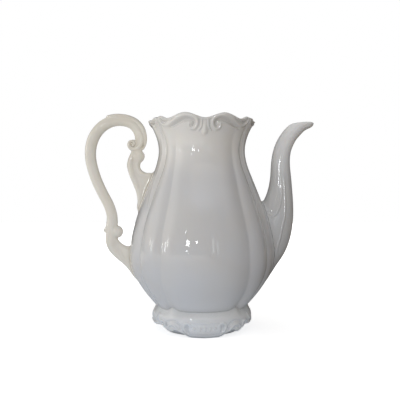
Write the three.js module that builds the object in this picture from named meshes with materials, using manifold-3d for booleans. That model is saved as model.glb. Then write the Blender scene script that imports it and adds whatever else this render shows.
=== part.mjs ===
// A glazed porcelain coffee pot in the neo-rococo manner, open at the top, for about 1.1 litres.
// It is put together from four castings, the body, the foot ring, the spout and the handle, which are
// stuck to each other with casting slip. Each joint's layer of slip is a piece of its own.
// Millimetres, +Z up. The spout points along +X, the handle along -X, and the two broad faces look along
// -Y and +Y. The pot is built on its own axis and then moved along X, so that the origin is on the table
// under the middle of the whole length from handle to spout.

import * as THREE from "three";
import { mergeVertices } from "three/addons/utils/BufferGeometryUtils.js";
import Module from "manifold-3d";

// ---- Driving dimensions -------------------------------------------------------------------------

const RIM_HEIGHT = 184.3; // top of the rim's waves
const BELLY_RADIUS = 62.6; // widest part of the body
const NECK_RADIUS = 37.7; // narrowest part of the neck
const SEAT_RADIUS = 40.3; // where the body sits on the foot
const SEAT_HEIGHT = 21.8;
const FOOT_RADIUS = 42.9; // widest part of the foot
const WALL = 3.2; // thickness of the body's casting
const FLOOR = 17.6; // height of the body's flat underside
const FLOOR_THICKNESS = 4.4;

const LID_SEAT_HEIGHT = 168; // flat ledge inside the neck, for a lid's flange
const LID_SEAT_OUTER = 35.4;
const LID_SEAT_INNER = 32.4;

const RING_OUTER = 31.5; // unglazed standing ring under the pot
const RING_INNER = 28;

const STRAINER_HOLE_RADIUS = 2.5;
const STRAINER_PITCH = 8.6;
const STRAINER_HEIGHT = 76;

const SPOUT_WALL = 2.8;
const SPOUT_FLATTENING = 0.76; // width of the spout's root over its height
const MOUTH_HEIGHT = 182.2; // the mouth is cut off level

const HANDLE_RADIUS = 5.1;
const BRACKET_THICKNESS = 8;

const GAP = 0.35; // clear space between a casting and its slip
const SLIP = 0.9; // thickness of the slip

const SIDES = 72; // facets around the pot

// ---- Curves that shape the pot ------------------------------------------------------------------

const radians = THREE.MathUtils.degToRad;

// A smooth function of one variable through [place, value] knots, level before the first and after the last.
function through(knots) {
  const places = knots.map((knot) => knot[0]);
  const values = knots.map((knot) => knot[1]);
  const curve = new THREE.CubicInterpolant(places, values, 1);
  return (place) => curve.evaluate(THREE.MathUtils.clamp(place, places[0], places.at(-1)))[0];
}

// A wave that turns at each [place, value] knot.
function turningAt(knots) {
  return (place) => {
    const next = Math.max(1, knots.findIndex((knot) => knot[0] >= place));
    const [from, low] = knots[next - 1];
    const [to, high] = knots[next];
    return THREE.MathUtils.lerp(low, high, THREE.MathUtils.smoothstep(place, from, to));
  };
}

// The body's outline: outer radius at each height.
const outlineRadius = through([
  [SEAT_HEIGHT, SEAT_RADIUS],
  [27, 44.6],
  [35, 50.8],
  [45, 57.2],
  [56, 61.4],
  [67, BELLY_RADIUS],
  [79, 61.6],
  [92, 58.6],
  [105, 54.6],
  [118, 49.8],
  [131, 44.6],
  [144, 39.7],
  [156, NECK_RADIUS],
  [167, 39.5],
  [175, 42.8],
  [181, 46.2],
  [RIM_HEIGHT, 47.4],
]);

// The body is lobed. Angles are degrees round from the middle of a broad face, 0, to the spout or handle, 90.
const faceEdge = through([[SEAT_HEIGHT, 44], [45, 37.5], [66, 34], [110, 34], [156, 36.5], [180, 37]]);
const sideEdge = through([[SEAT_HEIGHT, 68], [45, 61], [66, 58], [110, 57], [156, 58], [180, 60]]);
const grooveDepth = through([
  [18, 0],
  [SEAT_HEIGHT, 1.1],
  [45, 1.9],
  [100, 1.9],
  [150, 1.2],
  [172, 0.9],
  [RIM_HEIGHT, 0.4],
]);

// The wavy rim: a dip at 0, the highest wave at 21, and a pinched pair of small waves either side of 57.5.
const rimHeight = turningAt([
  [0, RIM_HEIGHT - 4.6],
  [21, RIM_HEIGHT],
  [43, RIM_HEIGHT - 3.9],
  [53, RIM_HEIGHT - 1.4],
  [57.5, RIM_HEIGHT - 2.4],
  [62, RIM_HEIGHT - 1.5],
  [72, RIM_HEIGHT - 3.4],
  [90, RIM_HEIGHT - 2],
]);

// The scalloped lower edge of the foot: a low panel under each broad face, a scroll at each corner and a
// high side.
const footEdge = turningAt([[0, 0], [14, 0.4], [35.5, 5.4], [42, 3.5], [58, 8], [72, 7.2], [90, 7.6]]);

// Degrees from the nearest broad face, 0 to 90, for an angle in radians measured from +X.
function fromFace(angle) {
  return THREE.MathUtils.radToDeg(Math.acos(Math.abs(Math.sin(angle))));
}

// How far the fluted surface lies inside the outline: lobes meet in valleys at faceEdge and sideEdge.
function flute(angle, height) {
  const place = fromFace(angle);
  const first = faceEdge(height);
  const second = sideEdge(height);
  let share; // 0 on a lobe's crest, 1 in a valley
  if (place < first) share = (place / first) ** 5;
  else if (place < second) share = Math.abs((2 * place - first - second) / (second - first)) ** 2.5;
  else share = ((90 - place) / (90 - second)) ** 5;
  return grooveDepth(height) * share;
}

// ---- Building solids ----------------------------------------------------------------------------

const wasm = await Module();
wasm.setup();

// A closed skin over rings of points. With loop, the last ring joins the first; without, both ends are
// capped.
function skin(rings, loop = false) {
  const sides = rings[0].length;
  const points = rings.flat();
  const faces = [];
  const spans = loop ? rings.length : rings.length - 1;
  for (let i = 0; i < spans; i++) {
    const a = i * sides;
    const b = ((i + 1) % rings.length) * sides;
    for (let k = 0; k < sides; k++) {
      const n = (k + 1) % sides;
      faces.push(a + k, a + n, b + n, a + k, b + n, b + k);
    }
  }
  if (!loop) {
    for (const [ring, turned] of [[0, true], [rings.length - 1, false]]) {
      const centre = new THREE.Vector3();
      rings[ring].forEach((point) => centre.addScaledVector(point, 1 / sides));
      points.push(centre);
      for (let k = 0; k < sides; k++) {
        const pair = [ring * sides + k, ring * sides + ((k + 1) % sides)];
        faces.push(...(turned ? pair.reverse() : pair), points.length - 1);
      }
    }
  }
  const geometry = new THREE.BufferGeometry().setFromPoints(points);
  geometry.setIndex(faces);
  return facingOut(geometry);
}

// The same closed geometry with its faces turned to point out.
function facingOut(geometry) {
  const { index, attributes: { position } } = geometry;
  const [a, b, c] = [new THREE.Vector3(), new THREE.Vector3(), new THREE.Vector3()];
  let volume = 0;
  for (let i = 0; i < index.count; i += 3) {
    [a, b, c].forEach((corner, k) => corner.fromBufferAttribute(position, index.getX(i + k)));
    volume += a.dot(b.cross(c)) / 6;
  }
  if (volume < 0) geometry.setIndex([...index.array].reverse());
  return geometry;
}

// A manifold-3d solid from a closed geometry.
function solid(geometry) {
  const bare = geometry.clone();
  bare.deleteAttribute("normal");
  bare.deleteAttribute("uv");
  const merged = mergeVertices(bare, 1e-4);
  const triVerts = new Uint32Array(merged.index.array);
  return new wasm.Manifold(
    new wasm.Mesh({ numProp: 3, vertProperties: merged.attributes.position.array, triVerts }),
  );
}

// A geometry from a manifold-3d solid.
function geometryOf(manifold) {
  const { vertProperties, triVerts } = manifold.getMesh();
  const geometry = new THREE.BufferGeometry();
  geometry.setAttribute("position", new THREE.BufferAttribute(vertProperties, 3));
  geometry.setIndex(new THREE.BufferAttribute(triVerts, 1));
  geometry.computeVertexNormals();
  return geometry;
}

// A ring of points around the pot, where place(angle) gives [radius, height].
function ringAround(place) {
  return Array.from({ length: SIDES }, (_, i) => {
    const angle = (2 * Math.PI * i) / SIDES;
    const [radius, height] = place(angle);
    return new THREE.Vector3(radius * Math.cos(angle), radius * Math.sin(angle), height);
  });
}

// A plain ring at one radius and height.
const hoop = (radius, height) => ringAround(() => [radius, height]);

// Rings across the sections of a curved tube in the XZ plane: stations hold [x, z, radius], and flat is the
// section's width along Y over its height. grow adds to the radius.
function tubeRings(stations, { steps, sides, flat = () => 1, grow = 0 }) {
  const path = new THREE.CatmullRomCurve3(stations.map(([x, z]) => new THREE.Vector3(x, 0, z)));
  const radius = through(stations.map(([, , r], i) => [i / (stations.length - 1), r]));
  return Array.from({ length: steps + 1 }, (_, i) => {
    const t = i / steps;
    const centre = path.getPoint(t);
    const along = path.getTangent(t);
    const across = new THREE.Vector3(along.z, 0, -along.x);
    return Array.from({ length: sides }, (_, k) => {
      const angle = (2 * Math.PI * k) / sides;
      const r = radius(t) + grow;
      return centre
        .clone()
        .addScaledVector(across, r * Math.cos(angle))
        .setY(r * flat(t) * Math.sin(angle));
    });
  });
}

// ---- Body ---------------------------------------------------------------------------------------

// Places of the body's outer rings, as shares of the way from the seat to the rim. They are closer
// together at both ends.
const OUTER_SHARES = [
  0, 0.03, 0.07, 0.12, 0.18, 0.25, 0.33, 0.42, 0.51, 0.6, 0.69, 0.77, 0.84, 0.9, 0.95, 0.985,
];

// A ring on the fluted outside, share of the way from the seat to the rim, grown outwards by grow.
function outerRing(share, grow = 0) {
  return ringAround((angle) => {
    const height = THREE.MathUtils.lerp(SEAT_HEIGHT, rimHeight(fromFace(angle)), share);
    return [outlineRadius(height) - flute(angle, height) + grow, height];
  });
}

// The rounded lip follows the waves.
function lipRing(inset, drop) {
  return ringAround((angle) => {
    const height = rimHeight(fromFace(angle)) - drop;
    return [outlineRadius(height) - flute(angle, height) - inset, height];
  });
}

// The inside follows the flutes softly.
function innerRing(height) {
  return ringAround((angle) => [outlineRadius(height) - WALL - 0.6 * flute(angle, height), height]);
}

// The underside's profile as [radius, height], from the standing ring out to the seat's edge.
const UNDERSIDE = [
  [RING_INNER, FLOOR],
  [35, 18.6],
  [38.3, 20.2],
];

function bodySolid() {
  const inside = FLOOR + FLOOR_THICKNESS;
  const vessel = solid(
    skin([
      ...UNDERSIDE.map(([radius, height]) => hoop(radius, height)),
      ...OUTER_SHARES.map((share) => outerRing(share)),
      lipRing(0.5, 0.3),
      lipRing(1.6, 0),
      lipRing(2.7, 0.6),
      innerRing(174),
      hoop(LID_SEAT_OUTER, LID_SEAT_HEIGHT + 0.6),
      hoop(LID_SEAT_OUTER - 0.4, LID_SEAT_HEIGHT),
      hoop(LID_SEAT_INNER + 0.4, LID_SEAT_HEIGHT),
      hoop(LID_SEAT_INNER, LID_SEAT_HEIGHT - 0.5),
      hoop(LID_SEAT_INNER, LID_SEAT_HEIGHT - 2.2),
      innerRing(158),
      ...[144, 126, 108, 90, 72, 58, 46, 36].map(innerRing),
      hoop(39, 26.5),
      hoop(33, inside + 1),
      hoop(24, inside),
    ]),
  );
  return strainerHoles().reduce((wall, hole) => wall.subtract(hole), vessel);
}

// The body filled in and grown outwards, which cuts the parts that are stuck to it.
function bodyEnvelope(grow) {
  return solid(skin(OUTER_SHARES.map((share) => outerRing(share, grow))));
}

// One hole in the middle and six around it, through the wall behind the spout.
function strainerHoles() {
  const places = [[0, 0]];
  for (let i = 0; i < 6; i++) {
    const angle = radians(60 * i);
    places.push([STRAINER_PITCH * Math.sin(angle), STRAINER_PITCH * Math.cos(angle)]);
  }
  return places.map(([across, up]) => {
    const drill = new THREE.CylinderGeometry(STRAINER_HOLE_RADIUS, STRAINER_HOLE_RADIUS, 24, 12);
    drill.rotateZ(Math.PI / 2);
    drill.translate(BELLY_RADIUS - 1, across, STRAINER_HEIGHT + up);
    return solid(drill);
  });
}

// ---- Foot ring ----------------------------------------------------------------------------------

// A ring that follows the foot's scalloped edge, lifted off it.
function edgeRing(radius, lift) {
  return ringAround((angle) => [radius, footEdge(fromFace(angle)) + lift]);
}

function footSolid() {
  const seat = GAP + SLIP + GAP;
  return solid(
    skin(
      [
        hoop(40.7, 20),
        hoop(42.4, 17.4),
        hoop(FOOT_RADIUS, 14),
        hoop(42.1, 10),
        edgeRing(41, 0.7),
        edgeRing(40.2, 0),
        edgeRing(38, 0),
        edgeRing(37.6, 0.8),
        hoop(38.2, 12.6),
        hoop(36, 14.6),
        hoop(33.5, 14.6),
        hoop(RING_OUTER + 0.3, 12.5),
        hoop(RING_OUTER, 0.8),
        hoop(RING_OUTER - 0.7, 0),
        hoop(RING_INNER + 0.6, 0),
        hoop(RING_INNER, 0.8),
        ...UNDERSIDE.map(([radius, height]) => hoop(radius, height - seat)),
      ],
      true,
    ),
  );
}

// A ring of slip between the foot ring and the body's underside.
function footSlip() {
  const top = UNDERSIDE.map(([radius, height]) => hoop(radius, height - GAP));
  const bottom = UNDERSIDE.map(([radius, height]) => hoop(radius, height - GAP - SLIP));
  return skin([...top, ...bottom.reverse()], true);
}

// ---- Spout --------------------------------------------------------------------------------------

// From inside the belly, up and over to the mouth: [x, z, radius].
const SPOUT_STATIONS = [
  [38.5, 63, 26],
  [46.5, 71, 25.1],
  [54.6, 79.6, 23.1],
  [60.7, 88.8, 20],
  [65.3, 99.4, 16.4],
  [68.1, 110.5, 13.3],
  [69.5, 121, 11],
  [70, 131.8, 9.5],
  [69.8, 142.2, 8.6],
  [70.2, 150.3, 8.1],
  [71.7, 157.8, 7.7],
  [74.4, 164.3, 7.4],
  [78.2, 170.4, 7],
  [83.1, 175.8, 6.8],
  [88.6, 180.6, 6.6],
  [93.4, 186, 6.4],
];

// The root is narrow and tall; the section is round from halfway up.
function spoutFlattening(t) {
  return THREE.MathUtils.lerp(SPOUT_FLATTENING, 1, THREE.MathUtils.smoothstep(t, 0.1, 0.45));
}

function spoutRings(grow) {
  return tubeRings(SPOUT_STATIONS, { steps: 22, sides: 20, flat: spoutFlattening, grow });
}

function spoutSolid() {
  const tube = solid(skin([...spoutRings(0), ...spoutRings(-SPOUT_WALL).reverse()], true));
  const above = new THREE.BoxGeometry(80, 60, 40).translate(100, 0, MOUTH_HEIGHT + 20);
  return tube.subtract(solid(above)).subtract(bodyEnvelope(GAP + SLIP + GAP));
}

function spoutSlip() {
  const outside = solid(skin(spoutRings(0.8)));
  const channel = solid(skin(spoutRings(0.2 - SPOUT_WALL)));
  return outside.intersect(slipShell()).subtract(channel);
}

// The layer of slip all round the body.
function slipShell() {
  return bodyEnvelope(GAP + SLIP).subtract(bodyEnvelope(GAP));
}

// ---- Handle -------------------------------------------------------------------------------------

// The grip, from the scroll beside the neck, over the top and down to the lower knuckle: [x, z, radius].
const GRIP_STATIONS = [
  [-54.3, 153.7, 5.2],
  [-52.9, 161.7, 5.2],
  [-52.7, 169.1, HANDLE_RADIUS],
  [-55.6, 176.4, HANDLE_RADIUS],
  [-60.7, 181.4, HANDLE_RADIUS],
  [-68.4, 183.7, HANDLE_RADIUS],
  [-76.7, 182.8, HANDLE_RADIUS],
  [-85, 178.7, HANDLE_RADIUS],
  [-91.4, 172.2, HANDLE_RADIUS],
  [-95.4, 164.4, HANDLE_RADIUS],
  [-97, 154.9, HANDLE_RADIUS],
  [-96, 144.4, HANDLE_RADIUS],
  [-92.1, 131.4, HANDLE_RADIUS],
  [-86.8, 119.6, HANDLE_RADIUS],
  [-81.4, 109.2, HANDLE_RADIUS],
  [-78.4, 100, HANDLE_RADIUS],
  [-77.9, 91.2, HANDLE_RADIUS],
  [-78.4, 80.3, HANDLE_RADIUS],
];

// The outlines of the two webs that carry the grip, in the XZ plane. Their last points lie inside the body.
const UPPER_WEB = [
  [-64.3, 151.7],
  [-65.6, 142.8],
  [-63.8, 135.3],
  [-60.4, 126.9],
  [-57.5, 119.4],
  [-56.4, 112],
  [-56.2, 104],
  [-46, 100],
  [-32, 136],
  [-43.9, 136.9],
  [-49.8, 137.4],
  [-53.8, 141.4],
  [-53.4, 147.8],
];
const LOWER_WEB = [
  [-83.4, 84],
  [-83.5, 77.3],
  [-81.6, 71.3],
  [-77.6, 65.2],
  [-72.5, 60.2],
  [-65.9, 54.2],
  [-56, 43.2],
  [-46, 50.3],
  [-51.8, 72.8],
  [-63.7, 72.9],
  [-69.1, 74.9],
  [-72.7, 79.7],
  [-73.3, 84.2],
];

// A web: its outline as a smooth closed shape, extruded to the bracket's thickness with rounded edges.
function web(outline) {
  const shape = new THREE.Shape();
  const points = outline.map(([x, z]) => new THREE.Vector2(x, z));
  shape.moveTo(points[0].x, points[0].y);
  shape.splineThru([...points.slice(1), points[0]]);
  const bevel = 1.6;
  const geometry = new THREE.ExtrudeGeometry(shape, {
    depth: BRACKET_THICKNESS - 2 * bevel,
    curveSegments: 3,
    bevelThickness: bevel,
    bevelSize: bevel,
    bevelOffset: -bevel,
    bevelSegments: 2,
  });
  geometry.translate(0, 0, bevel - BRACKET_THICKNESS / 2);
  geometry.rotateX(Math.PI / 2);
  return solid(geometry);
}

// A round knuckle in the handle.
function knuckle(x, z, radius) {
  return solid(new THREE.SphereGeometry(radius, 16, 10).translate(x, 0, z));
}

// The scroll that curls off the grip into the finger hole.
function scroll() {
  return solid(new THREE.CylinderGeometry(5, 5, 9.5, 18).translate(-60.6, 0, 160.7));
}

function handleSolid() {
  const grip = solid(skin(tubeRings(GRIP_STATIONS, { steps: 44, sides: 14 })));
  return [
    scroll(),
    knuckle(-55.7, 151.5, 6.2),
    knuckle(-74.5, 85.2, 5.6),
    knuckle(-83.2, 86.6, 3.4),
    web(UPPER_WEB),
    web(LOWER_WEB),
  ].reduce((whole, piece) => whole.add(piece), grip);
}

// The slip under one of the handle's webs.
function handleSlip(outline) {
  return web(outline).intersect(slipShell());
}

// ---- The pot ------------------------------------------------------------------------------------

const ceramic = (color, roughness) => new THREE.MeshStandardMaterial({ color, roughness, metalness: 0 });

const glazedWhite = ceramic(0xe9e7e2, 0.12);
const glazedCream = ceramic(0xebe6da, 0.12);
const slipWhite = ceramic(0xe4e1da, 0.5);

const pot = new THREE.Group();

function addPiece(name, geometry, material) {
  const mesh = new THREE.Mesh(geometry, material);
  mesh.name = name;
  pot.add(mesh);
}

addPiece("body", geometryOf(bodySolid()), glazedWhite);
addPiece("foot_ring", geometryOf(footSolid()), glazedWhite);
addPiece("foot_slip_joint", footSlip(), slipWhite);
addPiece("spout", geometryOf(spoutSolid()), glazedWhite);
addPiece("spout_slip_joint", geometryOf(spoutSlip()), slipWhite);
addPiece("handle", geometryOf(handleSolid().subtract(bodyEnvelope(GAP + SLIP + GAP))), glazedCream);
addPiece("upper_handle_slip_joint", geometryOf(handleSlip(UPPER_WEB)), slipWhite);
addPiece("lower_handle_slip_joint", geometryOf(handleSlip(LOWER_WEB)), slipWhite);

const middle = new THREE.Box3().setFromObject(pot).getCenter(new THREE.Vector3());
pot.children.forEach((mesh) => mesh.geometry.translate(-middle.x, 0, 0));

export default pot;
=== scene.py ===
"""A glazed porcelain coffee pot, open at the top, on a pale floor in soft studio light.

The body and the foot are grids of points round the pot's axis, with their flutes, scrolls and leaves raised
from the surface. The spout and the handle are fields, negative inside the porcelain, that are turned into
meshes. Shapes are worked out in millimetres about the pot's axis and stored in metres in the frame.
"""

import math

import bpy
import numpy as np
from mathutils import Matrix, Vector


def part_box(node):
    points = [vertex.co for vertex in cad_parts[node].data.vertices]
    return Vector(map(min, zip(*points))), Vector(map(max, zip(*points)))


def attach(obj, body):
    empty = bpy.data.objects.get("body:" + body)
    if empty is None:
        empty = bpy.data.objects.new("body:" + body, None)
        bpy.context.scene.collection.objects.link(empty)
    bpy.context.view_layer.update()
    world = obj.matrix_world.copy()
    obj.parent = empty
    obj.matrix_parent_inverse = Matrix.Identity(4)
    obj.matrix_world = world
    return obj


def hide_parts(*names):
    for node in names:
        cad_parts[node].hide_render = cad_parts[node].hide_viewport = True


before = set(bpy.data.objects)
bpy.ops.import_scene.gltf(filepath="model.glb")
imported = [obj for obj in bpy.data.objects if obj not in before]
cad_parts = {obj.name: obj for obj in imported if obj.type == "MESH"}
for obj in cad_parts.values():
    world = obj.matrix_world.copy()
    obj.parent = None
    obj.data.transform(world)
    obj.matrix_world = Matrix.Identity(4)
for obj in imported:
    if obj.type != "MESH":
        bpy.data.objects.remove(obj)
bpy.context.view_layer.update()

# ---- Measures, in millimetres and degrees ----------------------------------------------------------

foot_low, foot_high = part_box("foot_ring")
AXIS_X = 500 * (foot_low[0] + foot_high[0])  # the pot's axis in the frame

RIM = 184.3  # top of the rim's waves
SEAT = 21.8  # where the body sits on the foot
WALL = 3.2
LEDGE = 168.0  # height of the lid's ledge inside the neck
LEDGE_OUTER, LEDGE_INNER = 35.4, 32.4
UNDERSIDE, INNER_FLOOR = 17.6, 22.0  # of the body's bottom
RING_OUTER, RING_INNER = 31.5, 28.0  # the standing ring under the foot
FOOT_TOP = 24.4  # the foot's upper edge, hidden in the body's wall
MOUTH = 182.4  # height of the spout's mouth
SPOUT_TIP = 99.8  # how far out the spout reaches
SPOUT_WALL = 2.8
SLIP_DEPTH = 0.9  # a joint's slip reaches this far out from the body
ROOT_DEPTH = 0.6  # and this far into the body's wall

BODY_COLUMNS, FOOT_COLUMNS = 600, 620
SPOUT_STEP, HANDLE_STEP = 0.5, 0.4  # the grids on which spout and handle are worked out

# ---- Curves ----------------------------------------------------------------------------------------


def through(*knots):
    """A smooth curve of one variable through (place, value) knots."""
    place, value = np.array(knots, float).T
    slope = np.gradient(value, place)

    def curve(at):
        at = np.clip(at, place[0], place[-1])
        i = np.clip(np.searchsorted(place, at) - 1, 0, len(place) - 2)
        gap = place[i + 1] - place[i]
        t = (at - place[i]) / gap
        start = (2 * t**3 - 3 * t**2 + 1) * value[i] + (t**3 - 2 * t**2 + t) * gap * slope[i]
        end = (3 * t**2 - 2 * t**3) * value[i + 1] + (t**3 - t**2) * gap * slope[i + 1]
        return start + end

    return curve


def ease(value, low, high):
    """0 below low, 1 above high, and smooth between."""
    t = np.clip((value - low) / (high - low), 0, 1)
    return t * t * (3 - 2 * t)


def turning_at(*knots):
    """A wave that turns at each (place, value) knot."""
    place, value = np.array(knots, float).T

    def wave(at):
        i = np.clip(np.searchsorted(place, at) - 1, 0, len(place) - 2)
        return value[i] + (value[i + 1] - value[i]) * ease(at, place[i], place[i + 1])

    return wave


def spline(knots, steps=8):
    """Points along a smooth line through knots, each a row of numbers."""
    knots = np.array(knots, float)
    ends = np.vstack([2 * knots[0] - knots[1], knots, 2 * knots[-1] - knots[-2]])
    a, b, c, d = ends[:-3], ends[1:-2], ends[2:-1], ends[3:]
    t = (np.arange(steps) / steps)[None, :, None]
    a, b, c, d = (k[:, None, :] for k in (a, b, c, d))
    line = b + 0.5 * t * (c - a + t * (2 * a - 5 * b + 4 * c - d + t * (3 * (b - c) + d - a)))
    return np.vstack([line.reshape(-1, knots.shape[1]), knots[-1:]])


def nearest(u, v, line):
    """Distance from each (u, v) to a polyline of (u, v, more...) rows, and the other numbers there."""
    u, v = np.asarray(u, float), np.asarray(v, float)
    best = np.full(np.broadcast(u, v).shape, np.inf)
    extra = np.zeros((line.shape[1] - 2,) + best.shape)
    for start, end in zip(line[:-1], line[1:]):
        along = end[:2] - start[:2]
        t = ((u - start[0]) * along[0] + (v - start[1]) * along[1]) / max(along @ along, 1e-9)
        t = np.clip(t, 0, 1)
        away = np.hypot(u - start[0] - t * along[0], v - start[1] - t * along[1])
        closer = away < best
        best = np.where(closer, away, best)
        for k in range(len(extra)):
            extra[k] = np.where(closer, start[2 + k] + t * (end[2 + k] - start[2 + k]), extra[k])
    return best, extra


def swell(distance, width):
    """A rounded ridge of a half-width: 1 on its crest, 0 at its sides."""
    return np.clip(1 - (distance / width) ** 2, 0, 1) ** 2


# ---- The body's outside ----------------------------------------------------------------------------

outline = through(
    (18, 37.0),
    (SEAT, 40.3),
    (27, 44.6),
    (35, 50.8),
    (45, 57.2),
    (56, 61.4),
    (67, 62.6),
    (79, 61.6),
    (92, 58.6),
    (105, 54.6),
    (118, 49.8),
    (131, 44.6),
    (144, 39.7),
    (156, 37.7),
    (167, 39.5),
    (175, 42.8),
    (181, 46.2),
    (RIM, 47.4),
)

# Places round the pot are degrees from the middle of a broad face, 0, to the spout or handle, 90.
face_edge = through(
    (SEAT, 45),
    (37, 41.5),
    (50, 38),
    (66, 36),
    (88, 35.8),
    (110, 35.2),
    (153, 39),
    (RIM, 38),
)
side_edge = through((SEAT, 70), (35, 66.5), (49, 63.9), (67, 60.8), (95, 60.6), (125, 59.5), (RIM, 60))
face_depth = through((18, 1.6), (26, 2.5), (45, 2.0), (100, 1.8), (150, 1.1), (168, 0.6), (178, 0))
side_depth = through((18, 0.8), (26, 1.7), (45, 1.9), (100, 1.9), (150, 1.9), (168, 1.4), (180, 0.4))

rim_height = turning_at(
    (0, RIM - 4.6),
    (21, RIM - 0.3),
    (43, RIM - 3.9),
    (53, RIM - 1.5),
    (58, RIM - 2.2),
    (62, RIM - 1.7),
    (72, RIM - 3.3),
    (90, RIM - 2),
)
# How far the line between body and foot dips below the seat.
seat_dip = turning_at((0, 0.9), (29, 0.7), (41, -0.5), (49, 1.4), (58, 0.4), (72, -0.6), (90, -0.4))


def from_face(angle):
    """Degrees from the nearest broad face, for angles in radians from +X."""
    return np.degrees(np.arccos(np.clip(np.abs(np.sin(angle)), 0, 1)))


def valley(distance, width, soft):
    """A valley of a half-width, 1 at its bottom, with its sides rolling over to flat."""
    x = (np.sqrt(distance**2 + soft**2) - soft) / width
    return np.clip(1 - x, 0, 1) ** 2


def flutes(place, height):
    """How far the lobed surface lies inside the outline."""
    first, second = face_edge(height), side_edge(height)
    arc = np.radians(1) * outline(height)
    band = (second - first) * arc
    to_first, to_second = (place - first) * arc, (place - second) * arc
    first_width = np.where(to_first < 0, 0.55 * first * arc, 0.5 * band)
    second_width = np.where(to_second < 0, 0.5 * band, 0.5 * (90 - second) * arc)
    groove = face_depth(height) * valley(to_first, first_width, 1.2)
    crease = side_depth(height) * valley(to_second, second_width, 0.4)
    rib_place = second + 8 * ease(height, 92, 135)
    rib_length = ease(height, 96, 112) * (1 - ease(height, 158, 172))
    rib = 0.5 * rib_length * swell((place - rib_place) * arc, 1.7)
    return groove + crease - rib


# ---- Relief ----------------------------------------------------------------------------------------

# Strokes are lines of (degrees, height, half-width).
RIM_RIDGES = [
    # the long S scroll: from its curl beside the centre, up along the wave and down to the corner
    [
        (15.6, 175.0, 0.9),
        (16.9, 175.5, 1.0),
        (18.0, 173.7, 1.2),
        (16.8, 171.7, 1.3),
        (14.0, 170.8, 1.4),
        (11.4, 171.4, 1.4),
        (9.1, 173.3, 1.5),
        (8.1, 175.8, 1.6),
        (8.6, 178.3, 1.8),
        (11.6, 180.5, 2.0),
        (16.6, 181.6, 2.1),
        (22.5, 181.4, 2.2),
        (29.0, 179.7, 2.1),
        (35.0, 177.6, 1.9),
        (41.3, 175.8, 1.7),
        (47.3, 175.1, 1.6),
        (52.2, 175.9, 1.6),
        (54.9, 178.2, 1.5),
        (55.0, 180.6, 1.3),
        (53.6, 182.0, 1.0),
    ],
    # the leaf beside the centre
    [(3.2, 178.4, 0.9), (3.5, 176.0, 1.1), (4.1, 172.6, 1.1), (7.2, 169.6, 0.7)],
    # the outer rib of the corner's pinch
    [(60.6, 182.2, 1.0), (60.5, 179.5, 1.2), (61.3, 176.0, 1.2), (62.8, 171.5, 1.0), (63.5, 165.5, 0.6)],
    # the side's lower lip
    [
        (61.8, 180.6, 1.0),
        (64.0, 178.0, 1.3),
        (68.5, 176.4, 1.4),
        (75.0, 176.9, 1.3),
        (83.0, 178.6, 1.2),
        (90.0, 179.4, 1.2),
    ],
]
RIM_HOLLOWS = [
    # under the S scroll, out of its curl
    [
        (13.6, 173.6, 0.9),
        (12.0, 175.2, 1.2),
        (12.6, 177.4, 1.6),
        (16.0, 178.6, 2.0),
        (22.0, 178.4, 2.2),
        (29.0, 176.8, 2.0),
        (36.0, 174.7, 1.6),
        (44.0, 173.1, 0.9),
    ],
    # between the S scroll and the lip
    [(42.0, 179.0, 0.6), (45.5, 178.2, 1.1), (49.0, 177.9, 1.4), (51.6, 178.9, 1.3), (52.2, 180.3, 0.8)],
    # the corner's pinch
    [(57.5, 184.0, 1.0), (57.7, 180.0, 1.1), (58.3, 175.0, 1.0), (60.0, 170.0, 0.7)],
    # above the side's lower lip
    [(64.5, 180.3, 1.0), (69.0, 178.9, 1.5), (76.0, 179.3, 1.4), (84.0, 180.9, 0.9)],
]
SHELL = (168.9, 3.6)  # height and radius of the drop under the rim's centre

FOOT_RIDGES = [
    # the C scroll at the side of the cartouche
    [
        (15.9, 9.8, 0.8),
        (16.8, 11.6, 1.0),
        (20.0, 12.3, 1.2),
        (23.0, 11.1, 1.3),
        (24.2, 8.9, 1.3),
        (23.6, 6.4, 1.2),
        (21.4, 4.1, 1.0),
        (18.8, 2.6, 0.7),
    ],
    # the arch over the corner's knob, running down into the front panel
    [
        (46.0, 5.8, 0.8),
        (45.2, 7.4, 1.1),
        (43.2, 9.0, 1.2),
        (39.4, 10.1, 1.3),
        (35.7, 9.6, 1.3),
        (33.0, 8.0, 1.2),
        (31.0, 6.1, 1.1),
        (27.7, 4.0, 0.8),
    ],
    # the hook between corner and side
    [
        (58.5, 10.9, 0.8),
        (54.5, 12.2, 1.1),
        (50.6, 11.8, 1.3),
        (49.6, 9.8, 1.3),
        (51.2, 7.6, 1.1),
        (53.4, 6.6, 0.8),
    ],
    # the shoulder's curl
    [
        (60.0, 18.2, 0.7),
        (60.6, 16.4, 1.0),
        (62.5, 14.4, 1.1),
        (67.0, 12.2, 1.1),
        (73.0, 11.4, 0.9),
        (78.0, 12.2, 0.6),
    ],
    # the side's own scroll
    [(62.5, 8.9, 0.7), (66.5, 9.4, 1.0), (72.0, 8.9, 1.1), (80.0, 9.6, 1.1), (90.0, 9.8, 1.1)],
    # the line over the beads
    [(0, 12.7, 0.8), (7, 12.9, 0.8), (14.5, 12.6, 0.6)],
]
FOOT_HOLLOWS = [
    # inside the C scroll
    [(20.2, 9.0, 2.0), (20.0, 7.0, 1.6), (19.0, 5.0, 1.0)],
    # over the arch
    [
        (28.5, 7.5, 1.2),
        (28.2, 10.0, 1.4),
        (32.5, 12.6, 1.5),
        (40.0, 13.1, 1.4),
        (46.3, 11.6, 1.2),
        (47.6, 8.5, 1.0),
    ],
    # inside the hook
    [(53.5, 9.6, 1.4), (56.5, 9.2, 1.1)],
]
# Beads are (degrees, height, half-width, half-height).
FOOT_BEADS = [(0, 8.0, 1.4, 2.7), (5.6, 8.0, 1.3, 2.4), (11.9, 8.0, 1.2, 1.4), (40.6, 5.9, 2.2, 2.0)]

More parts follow.
